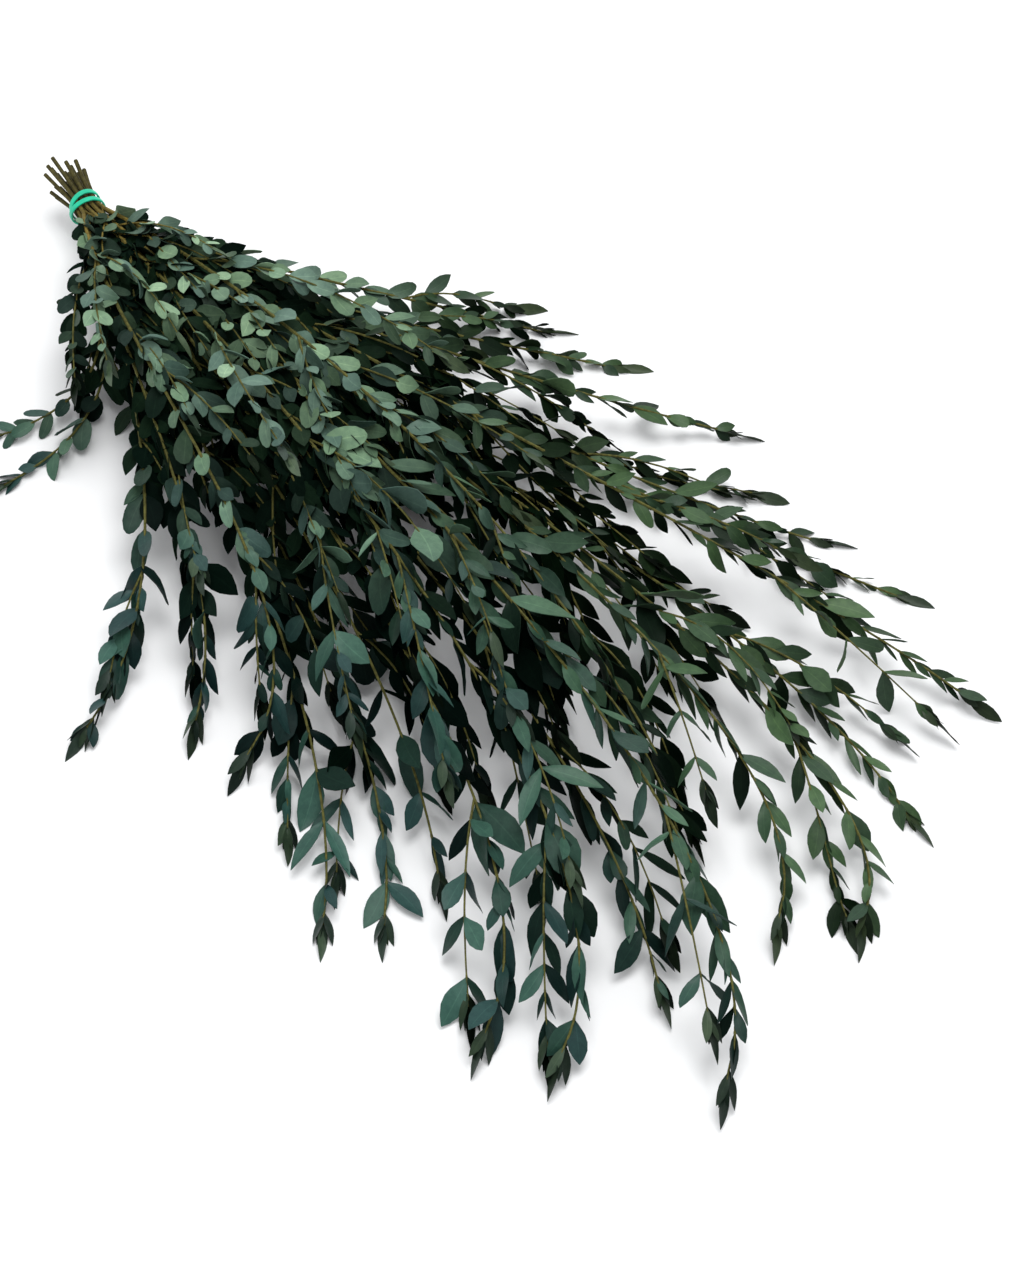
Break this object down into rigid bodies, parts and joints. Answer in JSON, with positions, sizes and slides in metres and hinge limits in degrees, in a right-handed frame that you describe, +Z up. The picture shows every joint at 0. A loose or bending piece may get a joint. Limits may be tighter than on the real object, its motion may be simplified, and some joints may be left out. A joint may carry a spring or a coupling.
{
  "type": "tied bunch of eucalyptus branches",
  "caption": "Fan-shaped bunch of cut eucalyptus branches with small paired leaves, lying flat, its stems held near their cut ends by a green elastic band wound twice round them.",
  "frame": {"origin": "under the middle of the bunch's bounding box, on the surface it lies on", "axes": "+X from the cut ends towards the leafy tips, along the bunch; +Z up; +Y to the left seen along +X"},
  "size_m": [0.7608, 0.4558, 0.1037],
  "materials": {
    "foliage": "satin blue-green leaves with paler undersides on olive-brown twigs",
    "band": "satin emerald green rubber"
  },
  "bodies": {
    "root": {"branch_01": "foliage", "branch_02": "foliage", "branch_03": "foliage", "branch_04": "foliage", "branch_05": "foliage", "branch_06": "foliage", "branch_07": "foliage", "branch_08": "foliage", "branch_09": "foliage", "branch_10": "foliage", "branch_11": "foliage", "branch_12": "foliage", "branch_13": "foliage", "branch_14": "foliage", "branch_15": "foliage", "branch_16": "foliage", "branch_17": "foliage", "branch_18": "foliage", "branch_19": "foliage", "branch_20": "foliage", "branch_21": "foliage", "branch_22": "foliage", "elastic_band": "band"}
  },
  "joints": []
}
